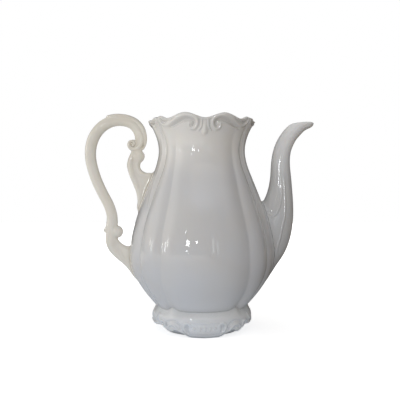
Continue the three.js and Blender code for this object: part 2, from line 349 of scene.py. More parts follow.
SOFTNESS = 1.2  # how much wider than drawn the strokes are
RIM_RISE, RIM_SINK = 0.68, 0.7  # of a stroke's half-width
FOOT_RISE, FOOT_SINK = 0.75, 0.55


def strokes(place, height, arc, lines, rise):
    """The height of the tallest of some strokes, where arc is the length of one degree."""
    top = np.zeros(np.broadcast(place, height).shape)
    for knots in lines:
        line = spline(knots, 6) * (arc, 1, 1)
        low, high = line[:, :2].min(0) - 3, line[:, :2].max(0) + 3
        near = (place * arc > low[0]) & (place * arc < high[0]) & (height > low[1]) & (height < high[1])
        away, (width,) = nearest(place[near] * arc, height[near], line)
        top[near] = np.maximum(top[near], rise * width * swell(away, SOFTNESS * width))
    return top


def rim_relief(place, height):
    arc = np.radians(44)
    ridge = strokes(place, height, arc, RIM_RIDGES, RIM_RISE)
    hollow = strokes(place, height, arc, RIM_HOLLOWS, RIM_SINK)
    shell_height, shell_radius = SHELL
    beyond = np.where(height > shell_height, 0.32, 1) * (height - shell_height)
    drop = 1.25 * swell(np.hypot(place * arc, beyond), shell_radius)
    below = rim_height(place) - height
    lip = 0.45 * swell(below - 0.9, 1.5)
    return np.maximum(np.maximum(ridge, drop), lip) - hollow


def body_radius(place, height):
    """The outside of the body without its rim's relief."""
    dip = seat_dip(place) * (1 - ease(height, SEAT, 32))
    return outline(height + dip) - flutes(place, height)


def body_distance(x, y, z):
    """About how far a point lies outside the body, for the parts that are stuck to it."""
    place = from_face(np.arctan2(y, x))
    return 0.93 * (np.hypot(x, y) - body_radius(place, z))


# ---- Meshes ----------------------------------------------------------------------------------------


def new_object(name, points, faces):
    """A smooth-shaded object from points in millimetres about the pot's axis."""
    mesh = bpy.data.meshes.new(name)
    place = (np.asarray(points, float) + (AXIS_X, 0, 0)) / 1000
    counts = [len(face) for face in faces]
    corners = np.concatenate([np.asarray(face).ravel() for face in faces])
    sizes = np.concatenate([np.full(count, np.shape(face)[1]) for count, face in zip(counts, faces)])
    mesh.vertices.add(len(place))
    mesh.vertices.foreach_set("co", place.ravel())
    mesh.loops.add(len(corners))
    mesh.loops.foreach_set("vertex_index", corners.astype(np.int32))
    mesh.polygons.add(len(sizes))
    starts = np.concatenate([[0], np.cumsum(sizes)[:-1]])
    mesh.polygons.foreach_set("loop_start", starts.astype(np.int32))
    mesh.update(calc_edges=True)
    mesh.validate()
    mesh.shade_smooth()
    thing = bpy.data.objects.new(name, mesh)
    bpy.context.scene.collection.objects.link(thing)
    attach(thing, "root")
    return thing


def ring_faces(rows, columns, closed):
    """Quads between rings of points. If closed, the last ring also joins the first."""
    row = np.arange(rows if closed else rows - 1)[:, None]
    column = np.arange(columns)[None, :]
    above, beside = (row + 1) % rows, (column + 1) % columns
    quad = [
        row * columns + column,
        row * columns + beside,
        above * columns + beside,
        above * columns + column,
    ]
    return np.stack(quad, -1).reshape(-1, 4)


def turned(name, angles, radius, height, closed):
    """An object from rings: radius and height hold a row per ring. If open, both ends are capped."""
    x, y = radius * np.cos(angles), radius * np.sin(angles)
    points = np.stack([x, y, np.broadcast_to(height, x.shape)], -1).reshape(-1, 3)
    rows, columns = radius.shape
    faces = [ring_faces(rows, columns, closed)]
    if not closed:
        points = np.vstack([points, (0, 0, height[0].mean()), (0, 0, height[-1].mean())])
        first, last = np.arange(columns), (rows - 1) * columns + np.arange(columns)
        start, end = (np.full(columns, rows * columns + k) for k in (0, 1))
        faces.append(np.stack([np.roll(first, -1), first, start], -1))
        faces.append(np.stack([last, np.roll(last, -1), end], -1))
    return new_object(name, points, faces)


def crowded_angles(count, crowds):
    """Angles round the pot, closer together near places given as (degrees, half-width, times)."""
    fine = np.linspace(0, 2 * np.pi, 20001)
    place = from_face(fine)
    weight = 1 + sum(times * np.exp(-(((place - at) / width) ** 4)) for at, width, times in crowds)
    share = np.concatenate([[0], np.cumsum(weight[:-1])])
    return np.interp(np.arange(count) / count * share[-1], share, fine)


def surface_nets(name, field, low, high, step):
    """The object whose surface is where field(x, y, z) crosses 0 from negative inside to positive."""
    axes = [np.arange(a, b + step, step) for a, b in zip(low, high)]
    value = field(*np.ix_(*axes)).astype(np.float32)
    inside = value < 0
    corners = [(i, j, k) for i in (0, 1) for j in (0, 1) for k in (0, 1)]
    shape = np.array(value.shape) - 1
    part = {c: tuple(slice(o, o + n) for o, n in zip(c, shape)) for c in corners}
    count = sum(inside[part[c]].astype(np.int8) for c in corners)
    cells = np.argwhere((count > 0) & (count < 8))
    number = np.full(shape, -1, np.int64)
    number[tuple(cells.T)] = np.arange(len(cells))
    total, hits = np.zeros((len(cells), 3)), np.zeros(len(cells))
    for c in corners:
        for axis in range(3):
            if c[axis]:
                continue
            other = tuple(o + (k == axis) for k, o in enumerate(c))
            a, b = value[tuple((cells + c).T)], value[tuple((cells + other).T)]
            cut = (a < 0) != (b < 0)
            share = np.where(cut, a / np.where(cut, a - b, 1), 0)
            spot = np.tile(np.array(c, float), (len(cells), 1))
            spot[:, axis] += share
            total += spot * cut[:, None]
            hits += cut
    points = np.array(low) + step * (cells + total / hits[:, None])
    points = settle(field, points, step)
    return new_object(name, points, [net_faces(inside, number)])


def net_faces(inside, number):
    """A quad round each grid edge that crosses the surface, turned to face out."""
    faces = []
    for axis in range(3):
        u, v = (axis + 1) % 3, (axis + 2) % 3
        start = [slice(1, -1)] * 3
        start[axis] = slice(0, -1)
        end = list(start)
        end[axis] = slice(1, None)
        a, b = inside[tuple(start)], inside[tuple(end)]
        edges = np.argwhere(a != b)
        leaving = a[tuple(edges.T)]
        for k in (u, v):
            edges[:, k] += 1
        quad = []
        for du, dv in ((-1, -1), (0, -1), (0, 0), (-1, 0)):
            cell = edges.copy()
            cell[:, u] += du
            cell[:, v] += dv
            quad.append(number[tuple(cell.T)])
        quad = np.stack(quad, -1)
        quad[~leaving] = quad[~leaving][:, ::-1]
        faces.append(quad)
    return np.vstack(faces)


def settle(field, points, step):
    """Moves points onto the surface along the field's slope, by less than a step in all."""
    small = 0.05
    here = field(*points.T)
    ahead = np.stack([field(*(points + shift).T) for shift in small * np.eye(3)], -1)
    slope = (ahead - here[:, None]) / small
    slope /= np.maximum((slope**2).sum(-1), 0.2)[:, None]
    moved = points + np.clip(-here[:, None] * slope, -0.5 * step, 0.5 * step)
    here = field(*moved.T)
    return moved + np.clip(-here[:, None] * slope, -0.2 * step, 0.2 * step)


# ---- Body ------------------------------------------------------------------------------------------


def body_rows():
    """The distances below the rim, as shares, of the rings on the outside, from the rim down."""
    relief = np.arange(0.4, 17, 0.4)
    wall = 17 + 143 * (np.arange(1, 62) / 61) ** 0.93
    return np.concatenate([relief, wall]) / 160


def build_body():
    angles = crowded_angles(BODY_COLUMNS, [(0, 19, 1.3), (58, 8, 1.2)])
    place = from_face(angles)
    rim = rim_height(place)
    rows = []

    def ring(radius, height):
        rows.append(np.broadcast_arrays(radius, height, angles)[:2])

    lowest = SEAT - 0.8 - seat_dip(place)
    for radius, height in ((RING_INNER - 0.1, UNDERSIDE), (RING_INNER, UNDERSIDE), (34, UNDERSIDE + 0.5)):
        ring(radius, height)
    ring(37.5, lowest - 0.6)
    for share in body_rows()[::-1]:
        height = rim - share * (rim - lowest)
        ring(body_radius(place, height) + rim_relief(place, height), height)
    lip_radius = body_radius(place, rim - 0.4)
    for turn in np.radians([20, 50, 80, 110, 140, 165]):
        ring(lip_radius - 1.45 + 1.6 * np.cos(turn), rim - 0.9 + 1.1 * np.sin(turn))
    for drop in (2.2, 3.4, 5, 7):
        height = rim - drop
        ring(outline(height) - WALL - 0.7 * flutes(place, height), height)
    for height in (173.5, 170.8):
        blend = (height - LEDGE) / 9
        ring((outline(height) - WALL) * blend + (LEDGE_OUTER + 1.2) * (1 - blend), height)
    ledge = [(LEDGE_OUTER + 0.1, 168.9), (LEDGE_OUTER, 168.3), (LEDGE_OUTER - 0.4, LEDGE)]
    ledge += [(LEDGE_INNER + 0.5, LEDGE), (LEDGE_INNER + 0.1, 167.7), (LEDGE_INNER, 167)]
    ledge += [(LEDGE_INNER + 0.1, 166), (LEDGE_INNER + 0.8, 164.4)]
    for radius, height in ledge:
        ring(radius, height)
    for height in np.concatenate([np.linspace(160, 44, 22), [38, 33, 29.5]]):
        ring(outline(height) - WALL - 0.6 * flutes(place, height), height)
    for radius, height in ((38.6, 26.2), (35.4, 23.9), (31, 22.5), (26, INNER_FLOOR), (12, INNER_FLOOR)):
        ring(radius, height)
    radius, height = (np.array(values) for values in zip(*rows))
    body = turned("pot_body", angles, radius, height, closed=False)
    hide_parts("body")
    return body


# ---- Foot ------------------------------------------------------------------------------------------

foot_edge = turning_at((0, 0), (14, 0.4), (35.5, 5.4), (42, 3.5), (58, 8), (72, 7.2), (90, 7.6))
foot_outline = through(
    (0, 40.4),
    (3, 41.2),
    (6, 41.8),
    (9, 42.5),
    (11.5, 43.1),
    (14, 43.3),
    (16.6, 42.8),
    (19.2, 41.4),
    (21.8, 40.1),
    (FOOT_TOP, 38.9),
)


def foot_radius(place, height):
    """The outside of the foot, which follows the wavy line between body and foot."""
    dip = seat_dip(place) * ease(height, 14, 20)
    return foot_outline(height + dip) + foot_relief(place, height)


def foot_relief(place, height):
    arc = np.radians(42)
    ridge = strokes(place, height, arc, FOOT_RIDGES, FOOT_RISE)
    hollow = strokes(place, height, arc, FOOT_HOLLOWS, FOOT_SINK)
    for at, middle, wide, tall in FOOT_BEADS:
        off = np.hypot((place - at) * arc / wide, (height - middle) / tall)
        ridge = np.maximum(ridge, 0.95 * swell(off, 1.15))
    above = height - foot_edge(place)
    lip = 0.35 * swell(above - 1.0, 1.5)
    return np.maximum(ridge, lip) - hollow


def build_foot():
    angles = crowded_angles(FOOT_COLUMNS, [(0, 27, 0.5), (46, 16, 0.6)])
    place = from_face(angles)
    edge = foot_edge(place)
    rows = []

    def ring(radius, height):
        rows.append(np.broadcast_arrays(radius, height, angles)[:2])

    for share in np.linspace(0, 1, 60):
        height = FOOT_TOP + share * (edge + 0.8 - FOOT_TOP)
        ring(foot_radius(place, height), height)
    outer = foot_radius(place, edge + 0.8)
    for turn in np.radians([20, 45, 70]):
        ring(outer - 1 + np.cos(turn), edge + 0.8 - 0.8 * np.sin(turn))
    ring(outer - 1, edge)
    for turn in np.radians([90, 60, 25]):
        ring(outer - 2.6 - 0.9 * np.cos(turn), edge + 0.8 - 0.8 * np.sin(turn))
    inner = foot_outline(edge + 2) - 3.6
    ring(inner, edge + 2)
    ring(38.4, np.maximum(edge + 3, 10.5))
    profile = [(38.3, 12.4), (37.6, 13.8), (36.2, 14.6), (33.6, 14.6), (32.2, 13.8), (RING_OUTER, 12.2)]
    profile += [(RING_OUTER, 6), (RING_OUTER, 1), (RING_OUTER - 0.2, 0.4), (RING_OUTER - 0.8, 0)]
    profile += [(RING_INNER + 0.7, 0), (RING_INNER + 0.2, 0.3), (RING_INNER, 0.9), (RING_INNER, 8)]
    profile += [(RING_INNER, 15.2), (RING_INNER + 0.7, 15.9), (35, 17.0), (38.2, 18.8), (38.6, 22)]
    for radius, height in profile:
        ring(radius, height)
    radius, height = (np.array(values) for values in zip(*rows))
    foot = turned("scalloped_foot", angles, radius[::-1], height[::-1], closed=True)
    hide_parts("foot_ring")
    return foot


def build_foot_joint():
    """The bead of slip between foot and body, seen only from below."""
    angles = np.linspace(0, 2 * np.pi, 180, endpoint=False)
    wander = 0.12 * np.sin(7 * angles + 1) + 0.08 * np.sin(17 * angles)
    profile = [(29.2, 17.35), (28.7, 16.9), (29.2, 16.3), (35, 17.15), (38, 18.9), (38, 19.8), (35, 18.4)]
    radius = np.array([r - wander * (r < 30) for r, _ in profile])
    height = np.array([np.full(len(angles), h) for _, h in profile])
    joint = turned("foot_joint", angles, radius, height, closed=True)
    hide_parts("foot_slip_joint")
    return joint


# ---- Spout and handle: fields ----------------------------------------------------------------------


def blend(a, b, reach):
    """The union of two solids with a fillet."""
    h = np.clip(1 - np.abs(a - b) / reach, 0, 1)
    return np.minimum(a, b) - h * h * reach / 4


def overlap(a, b, reach):
    """The common part of two solids with a rounded edge."""
    return -blend(-a, -b, reach)


def stuck(field, reach, low_cut, high_cut):
    """A part's field with a fillet onto the body, kept between two distances from the body."""

    def joined(x, y, z):
        part, body = field(x, y, z), body_distance(x, y, z)
        # Without this the fillet would spread over the body as a thin sheet.
        sunk = 0.1 + 0.35 * np.maximum(part - 0.6 * reach, 0)
        whole = blend(part, body, reach) + sunk
        whole = np.maximum(whole, low_cut - body)
        return np.maximum(whole, body - high_cut)

    return joined


FAR = 1000  # beyond any point of a part

# ---- Spout -----------------------------------------------------------------------------------------

# The middle line in the XZ plane, with the section's radius and its width over its height.
SPOUT_LINE = [
    (38.5, 63.0, 26.0, 0.74),
    (46.5, 71.0, 25.1, 0.74),
    (54.6, 79.6, 23.1, 0.75),
    (60.7, 88.8, 20.0, 0.77),
    (65.3, 99.4, 16.4, 0.82),
    (68.1, 110.5, 13.3, 0.88),
    (69.5, 121.0, 11.0, 0.94),
    (70.0, 131.8, 9.5, 0.98),
    (69.8, 142.2, 8.6, 1.0),
    (70.2, 150.3, 8.1, 1.0),
    (71.7, 157.8, 7.7, 1.0),
    (74.4, 164.3, 7.4, 1.0),
    (78.2, 170.4, 7.0, 1.0),
    (83.1, 175.7, 6.7, 1.0),
    (87.4, 179.5, 6.4, 1.0),
    (91.6, 181.9, 6.3, 1.0),
    (96.3, 183.6, 6.3, 1.0),
    (101.5, 184.7, 6.3, 1.0),
]
# Relief on the spout's flanks: lines of (x, z, half-width).
SPOUT_RIDGES = [
    # the C scroll that runs up the spout
    [
        (60.2, 103.6, 0.9),
        (58.4, 103.9, 1.0),
        (57.6, 102.2, 1.1),
        (58.5, 100.2, 1.2),
        (60.8, 99.2, 1.4),
        (63.3, 100.8, 1.5),
        (65.7, 104.8, 1.5),
        (67.4, 109.4, 1.4),
        (68.5, 115.0, 1.2),
        (69.0, 121.0, 0.9),
        (69.2, 127.0, 0.5),
    ],
    # the long outer line
    [
        (66.0, 63.8, 0.7),
        (64.6, 67.0, 1.0),
        (64.9, 73.0, 1.2),
        (67.1, 80.7, 1.3),
        (68.8, 88.4, 1.3),
        (70.9, 96.5, 1.3),
        (71.9, 104.3, 1.2),
        (72.1, 114.5, 1.1),
        (71.8, 124.0, 0.9),
        (71.7, 134.0, 0.5),
    ],
]
spout_line = spline(SPOUT_LINE, 6)


def spout_tube(x, y, z, grow=0.0):
    away, (radius, flat) = nearest(x, z, spout_line)
    radius = radius + grow
    flat = np.where(grow < 0, (flat * (radius - grow) + grow) / np.maximum(radius, 0.1), flat)
    return (np.hypot(away, y / flat) - radius) * (0.5 + 0.5 * flat)


def spout_solid(x, y, z):
    side = ease(np.abs(y), 1.5, 4.5)
    ridge = np.zeros(np.broadcast(x, z).shape)
    for knots in SPOUT_RIDGES:
        away, (width,) = nearest(x, z, spline(knots, 6))
        ridge = np.maximum(ridge, 0.5 * width * swell(away, width))
    outside = spout_tube(x, y, z) - ridge * side
    level = z - MOUTH + 0.006 * (x - 95) ** 2
    return overlap(overlap(outside, x - SPOUT_TIP, 4.5), level, 2.4)


def bored(field):
    """A field with the spout's channel taken out of it."""

    def hollow(x, y, z):
        channel = np.maximum(spout_tube(x, y, z, -SPOUT_WALL), x - SPOUT_TIP + SPOUT_WALL)
        return overlap(field(x, y, z), -channel, 1.6)

    return hollow


def build_spout():
    casting = bored(stuck(spout_solid, 5.0, SLIP_DEPTH, FAR))
    slip = bored(stuck(spout_solid, 5.0, -ROOT_DEPTH, SLIP_DEPTH))
    low = (44, -21, 42)
    spout = surface_nets("spout_casting", casting, low, (101, 21, 185), SPOUT_STEP)
    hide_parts("spout")
    joint = surface_nets("spout_joint", slip, low, (75, 21, 122), SPOUT_STEP)
    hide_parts("spout_slip_joint")
    return [spout, joint]


# ---- Handle ----------------------------------------------------------------------------------------

# The grip in the XZ plane: (x, z, radius).
GRIP_LINE = [
    (-55.4, 150.5, 4.4),
    (-56.6, 155.0, 4.3),
    (-55.4, 160.0, 4.0),
    (-54.4, 165.0, 4.1),
    (-54.6, 170.0, 4.4),
    (-56.8, 175.4, 4.6),
    (-61.2, 179.8, 4.7),
    (-68.4, 182.2, 4.8),
    (-76.7, 182.0, 4.9),
    (-85.0, 178.5, 5.0),
    (-91.4, 172.2, 5.0),
    (-95.4, 164.4, 5.0),
    (-97.1, 154.9, 4.9),
    (-96.1, 144.4, 4.8),
    (-92.2, 131.4, 4.7),
    (-86.9, 119.6, 4.6),
    (-81.5, 109.2, 4.6),
    (-78.6, 100.0, 4.7),
    (-78.4, 91.5, 5.0),
    (-79.0, 84.0, 4.8),
    (-79.2, 77.0, 4.4),
    (-77.8, 71.8, 3.9),
    (-74.2, 67.2, 3.3),
    (-69.0, 62.6, 2.5),
]
# The leaf that lies along the outside of the loop.
LEAF_LINE = [
    (-81.3, 184.9, 2.3),
    (-76.7, 185.8, 2.4),
    (-70.4, 185.9, 2.4),
    (-63.4, 184.6, 2.4),
    (-56.9, 181.1, 2.5),
    (-52.4, 175.5, 2.5),
    (-50.3, 168.5, 2.3),
    (-50.3, 162.2, 1.8),
    (-51.6, 157.9, 1.0),
]
# The strand that curls into the volute, and its eye.
VOLUTE_LINE = [
    (-56.6, 175.0, 0.9),
    (-53.5, 171.0, 1.3),
    (-52.5, 166.0, 1.6),
    (-53.3, 161.6, 1.8),
    (-56.0, 158.5, 1.8),
    (-59.6, 157.4, 1.7),
    (-62.7, 158.8, 1.6),
    (-63.7, 161.5, 1.5),
    (-62.4, 163.8, 1.4),
    (-60.0, 163.9, 1.2),
    (-58.9, 162.0, 1.1),
]
VOLUTE_CENTRE, VOLUTE_RADIUS = (-60.0, 160.9), 4.9
VOLUTE_HALF = 3.3  # half the volute's thickness, without its strand
VOLUTE_EYE = 1.7
UPPER_BALL = ((-55.4, 151.3), 5.4)
LOWER_BALL = ((-74.3, 85.5), 5.6)
HEEL_LINE = [(-78.5, 92.0, 4.6), (-81.4, 88.7, 3.5), (-84.0, 86.7, 2.0)]  # ends in a blunt point

UPPER_WEB = [
    (-61.0, 156.0),
    (-63.6, 151.5),
    (-65.1, 147.0),
    (-65.5, 142.6),
    (-63.8, 135.3),
    (-60.4, 126.9),
    (-57.5, 119.4),
    (-56.4, 112.0),
    (-56.2, 104.0),
    (-46.0, 100.0),
    (-32.0, 136.0),
    (-43.9, 136.9),
    (-49.8, 137.4),
    (-53.8, 141.4),
    (-53.4, 147.8),
    (-56.0, 153.0),
]
LOWER_WEB = [
    (-83.2, 82.5),
    (-83.3, 77.0),
    (-81.5, 71.3),
    (-77.6, 65.4),
    (-72.5, 60.4),
    (-65.9, 54.4),
    (-56.0, 43.4),
    (-46.0, 50.3),
    (-51.8, 72.8),
    (-63.7, 72.9),
    (-69.1, 74.9),
    (-73.3, 79.3),
    (-75.0, 84.5),
]
# The raised borders of the webs: (x, z, half-width, rise).
UPPER_BORDERS = [
    [
        (-58.5, 154.0, 1.6, 0.9),
        (-61.9, 150.0, 2.0, 1.2),
        (-63.0, 143.0, 2.3, 1.3),
        (-61.5, 136.0, 2.3, 1.3),
        (-58.3, 128.0, 2.2, 1.2),
        (-55.4, 120.0, 2.1, 1.0),
        (-54.0, 112.0, 2.0, 0.8),
        (-53.4, 106.0, 1.8, 0.5),
    ],
    [
        (-56.2, 146.0, 1.5, 0.6),
        (-56.0, 141.0, 1.8, 1.0),
        (-53.0, 136.9, 2.0, 1.2),
        (-48.5, 135.2, 2.0, 1.1),
        (-42.0, 134.9, 1.8, 0.8),
    ],
]
LOWER_BORDERS = [
    [
        (-81.3, 83.0, 1.8, 0.4),
        (-81.0, 77.0, 2.2, 0.6),
        (-78.9, 71.9, 2.3, 0.6),
        (-75.2, 67.3, 2.3, 0.5),
        (-70.1, 62.4, 2.2, 0.4),
        (-63.5, 56.5, 2.0, 0.2),
    ],
]
WEB_HALF = 3.0  # half the webs' thickness between their borders
WEB_FLARE = 1.0  # how much thicker they are, to each side, where they meet the body

grip_line, leaf_line = spline(GRIP_LINE, 5), spline(LEAF_LINE, 5)
volute_line, heel_line = spline(VOLUTE_LINE, 5), spline(HEEL_LINE, 5)


def inside_outline(x, z, outline_points):
    """Signed distance to a smooth closed outline in the XZ plane, negative inside."""
    knots = np.array(outline_points + outline_points[:1], float)
    line = spline(knots, 4)
    away, _ = nearest(x, z, line)
    odd = np.zeros(away.shape, bool)
    for (ax, az), (bx, bz) in zip(line[:-1], line[1:]):
        crosses = (az > z) != (bz > z)
        odd ^= crosses & (x < ax + (z - az) / (bz - az if bz != az else 1) * (bx - ax))
    return np.where(odd, -away, away)


def web(x, y, z, outline_points, borders):
    border = 0
    for knots in borders:
        away, (width, rise) = nearest(x, z, spline(knots, 5))
        border = np.maximum(border, rise * swell(away, width * 1.4))
    near_body = np.clip(1 - body_distance(x, y, z) / 9, 0, 1)
    half = WEB_HALF + border * (1 - near_body) + WEB_FLARE * near_body**2
    return overlap(inside_outline(x, z, outline_points), (np.abs(y) - half) * 0.8, 3.2)


def ball(x, y, z, centre, radius):
    return np.sqrt((x - centre[0]) ** 2 + y**2 + (z - centre[1]) ** 2) - radius


def tube(x, y, z, line, flat):
    away, (radius,) = nearest(x, z, line)
    return np.hypot(away, y / flat) - radius


def volute(x, y, z):
    off = np.hypot(x - VOLUTE_CENTRE[0], z - VOLUTE_CENTRE[1])
    disc = overlap(off - VOLUTE_RADIUS, np.abs(y) - VOLUTE_HALF, 2.0)
    away, (width,) = nearest(x, z, volute_line)
    strand = np.hypot(away, np.abs(y) - VOLUTE_HALF) - width
    eye = np.hypot(off, np.abs(y) - VOLUTE_HALF + 0.4) - VOLUTE_EYE
    return blend(disc, np.minimum(strand, eye), 0.5)


def handle_solid(x, y, z):
    grip = blend(tube(x, y, z, grip_line, 0.96), tube(x, y, z, leaf_line, 1.7), 0.4)
    grip = blend(grip, volute(x, y, z), 0.6)
    webs = np.minimum(web(x, y, z, UPPER_WEB, UPPER_BORDERS), web(x, y, z, LOWER_WEB, LOWER_BORDERS))
    whole = blend(grip, webs, 2.2)
    for centre, radius in (UPPER_BALL, LOWER_BALL):
        whole = blend(whole, ball(x, y, z, centre, radius), 0.9)
    return blend(whole, tube(x, y, z, heel_line, 1.0), 1.2)


def build_handle():
    casting = stuck(handle_solid, 2.2, SLIP_DEPTH, FAR)
    slip = stuck(handle_solid, 2.2, -ROOT_DEPTH, SLIP_DEPTH)
    handle = surface_nets("scroll_handle", casting, (-104, -13, 40), (-38, 13, 192), HANDLE_STEP)
    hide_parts("handle")
    pieces = [handle]
    for side, low, high in (
        ("upper", (-62, -15, 95), (-34, 15, 146)),
        ("lower", (-66, -15, 38), (-46, 15, 80)),
    ):
        joint = surface_nets(f"{side}_handle_joint", slip, low, high, HANDLE_STEP)
        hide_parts(f"{side}_handle_slip_joint")
        pieces.append(joint)
    return pieces


# ---- Materials -------------------------------------------------------------------------------------


class Nodes:
    """Adds nodes to a tree, one after another."""

    def __init__(self, tree, coordinate):
        self.nodes, self.links = tree.nodes, tree.links
        self.place = self.add("ShaderNodeTexCoord").outputs[coordinate]

    def add(self, kind, **inputs):
        node = self.nodes.new(kind)
        for key, value in inputs.items():
            self.set(node.inputs[key.replace("_", " ")], value)
        return node

    def set(self, socket, value):
        if isinstance(value, bpy.types.NodeSocket):
            self.links.new(value, socket)
        else:
            socket.default_value = value

    def noise(self, scale, detail=2.0):
        return self.add("ShaderNodeTexNoise", Vector=self.place, Scale=scale, Detail=detail).outputs["Fac"]

    def ramp(self, value, low, high, start=0.0, end=1.0):
        node = self.add("ShaderNodeMapRange", Value=value)
        node.interpolation_type = "SMOOTHSTEP"
        for key, amount in zip(("From Min", "From Max", "To Min", "To Max"), (low, high, start, end)):
            self.set(node.inputs[key], amount)
        return node.outputs["Result"]

    def mix(self, share, a, b, how="MIX"):
        node = self.add("ShaderNodeMix")
        node.data_type = "RGBA"
        node.blend_type = how
        for socket, value in zip((node.inputs[0], node.inputs[6], node.inputs[7]), (share, a, b)):
            self.set(socket, value)
        return node.outputs[2]

    def math(self, operation, a, b=0.0):
        node = self.add("ShaderNodeMath")
        node.operation = operation
        self.set(node.inputs[0], a)
        self.set(node.inputs[1], b)
        return node.outputs[0]

    def seen_by(self, ray):
        return self.add("ShaderNodeLightPath").outputs[f"Is {ray} Ray"]


TOP_LIGHT_HEIGHTS = (0.125, 0.165)  # metres: a glaze has its lower colour below these and its upper colour above; on body and spout the upper one is lighter, as painted top light


def new_material(name):
    material = bpy.data.materials.new(name)
    material.use_nodes = True
    return material, Nodes(material.node_tree, "Object"), material.node_tree.nodes["Principled BSDF"]


def porcelain(name, upper, lower, hollow_shade, biscuit_below=None):
    """Clear glossy glaze over white porcelain, with a lower and an upper colour that drift a little, the
    lighter upper colour on body and spout being painted top light, painted shade in hollows, and a few
    specks."""
    material, s, surface = new_material(name)
    height = s.add("ShaderNodeSeparateXYZ", Vector=s.place).outputs["Z"]
    # painted top light: on body and spout the upper colour is lighter than the lower
    colour = s.mix(s.ramp(height, *TOP_LIGHT_HEIGHTS), lower + (1,), upper + (1,))
    drift = s.ramp(s.noise(22, 3), 0.35, 0.68)
    colour = s.mix(drift, colour, (1.0, 0.985, 0.955, 1), "MULTIPLY")
    # painted shade: the glaze is darkened in creases and hollows, found by ambient occlusion
    open_air = s.add("ShaderNodeAmbientOcclusion", Distance=0.007)
    open_air.samples = 4
    hollow = s.ramp(open_air.outputs["AO"], 0.95, 0.35)
    colour = s.mix(hollow, colour, hollow_shade + (1,))
    specks = s.add("ShaderNodeTexVoronoi", Vector=s.place, Scale=120.0, Randomness=1.0)
    rare = s.ramp(specks.outputs["Color"], 0.90, 0.91)
    speck = s.math("MULTIPLY", s.ramp(specks.outputs["Distance"], 0.045, 0.03), rare)
    colour = s.mix(s.math("MULTIPLY", speck, 0.6), colour, (0.13, 0.10, 0.08, 1))
    roughness = s.ramp(s.noise(60), 0.3, 0.7, 0.02, 0.05)
    waves = s.math("ADD", s.math("MULTIPLY", s.noise(170), 0.25), s.noise(38, 1))
    bump = s.add("ShaderNodeBump", Strength=0.25, Distance=0.0005, Height=waves)
    if biscuit_below is not None:
        ragged = s.math("ADD", height, s.math("MULTIPLY", s.noise(260, 3), 0.0006))
        bare = s.ramp(ragged, biscuit_below + 0.0002, biscuit_below)
        colour = s.mix(bare, colour, (0.62, 0.58, 0.52, 1))
        roughness = s.math("MAXIMUM", roughness, s.math("MULTIPLY", bare, 0.75))
    s.set(surface.inputs["Base Color"], colour)
    s.set(surface.inputs["Roughness"], roughness)
    s.set(surface.inputs["Normal"], bump.outputs["Normal"])
    s.set(surface.inputs["IOR"], 1.52)
    s.set(surface.inputs["Subsurface Weight"], 0.12)
    s.set(surface.inputs["Subsurface Radius"], (1.0, 0.8, 0.6))
    s.set(surface.inputs["Subsurface Scale"], 0.0015)
    return material


def paper():
    """The floor: matt paper, near white for the camera. For the pot it glows cool as painted light, dimmer
    near the pot and dark at the right as painted shade.
    """
    material, s, surface = new_material("pale_paper")
    split = s.add("ShaderNodeSeparateXYZ", Vector=s.place).outputs
    distance = s.math("SQRT", s.math("ADD", s.math("POWER", split["X"], 2), s.math("POWER", split["Y"], 2)))
    seen = s.mix(s.noise(9, 4), (0.90, 0.90, 0.90, 1), (0.93, 0.93, 0.93, 1))
    cool_to_warm = s.mix(s.ramp(distance, 0.1, 0.4), (0.52, 0.56, 0.62, 1), (0.60, 0.58, 0.55, 1))
    # painted shade: the pot sees the floor dark at the right
    mirrored = s.mix(s.ramp(split["X"], 0.0, 0.16), cool_to_warm, (0.12, 0.10, 0.08, 1))
    camera = s.seen_by("Camera")
    # the floor glows for the pot as painted light, dimmer near the pot as painted shade
    glow = s.mix(1.0, mirrored, s.ramp(distance, 0.1, 0.9, 0.4, PAPER_GLOW), "MULTIPLY")
    backdrop = s.ramp(distance, 0.12, 0.8, FLOOR_GLOW, 1.2)
    s.set(surface.inputs["Base Color"], s.mix(camera, mirrored, seen))
    s.set(surface.inputs["Roughness"], 0.9)
    s.set(surface.inputs["Specular IOR Level"], 0.1)
    s.set(surface.inputs["Emission Color"], s.mix(camera, glow, backdrop))
    s.set(surface.inputs["Emission Strength"], 1.0)
    return material


def dress(things, material):
    for thing in things:
        thing.data.materials.clear()
        thing.data.materials.append(material)


# ---- Studio ----------------------------------------------------------------------------------------

CAMERA_TURN = -3.5  # degrees round from the front, towards the handle
CAMERA_DISTANCE, CAMERA_HEIGHT = 0.550, 0.1096
FLOOR_GLOW = 0.7  # how much light the floor adds for the camera near the pot
PAPER_GLOW = 1.3  # and for the pot, away from it

# The room's soft light, as patches of (turn, rise, half-width in degrees, colour).
ROOM_DARK = (0.06, 0.058, 0.056)
ROOM_LIGHT = [
    (-56, 2, 42, (0.28, 0.28, 0.28)),
    (-10, 1, 56, (0.97, 0.97, 1.01)),
    (-94, 8, 42, (0.94, 0.90, 0.83)),
    (46, 25, 40, (0.18, 0.17, 0.16)),
    (30, 65, 50, (0.45, 0.45, 0.45)),
    (-150, 65, 38, (0.42, 0.42, 0.42)),
]
# The glaze sees the room brighter than it lights the pot, more so higher up, but for one dark side:
# (turn, half-width, top).
GLAZE_GAIN_LOW, GLAZE_GAIN_HIGH = 1.1, 1.5
DARK_SIDE = (-8, 58, 38)
DARK_SIDE_COLOUR = (0.14, 0.16, 0.19)

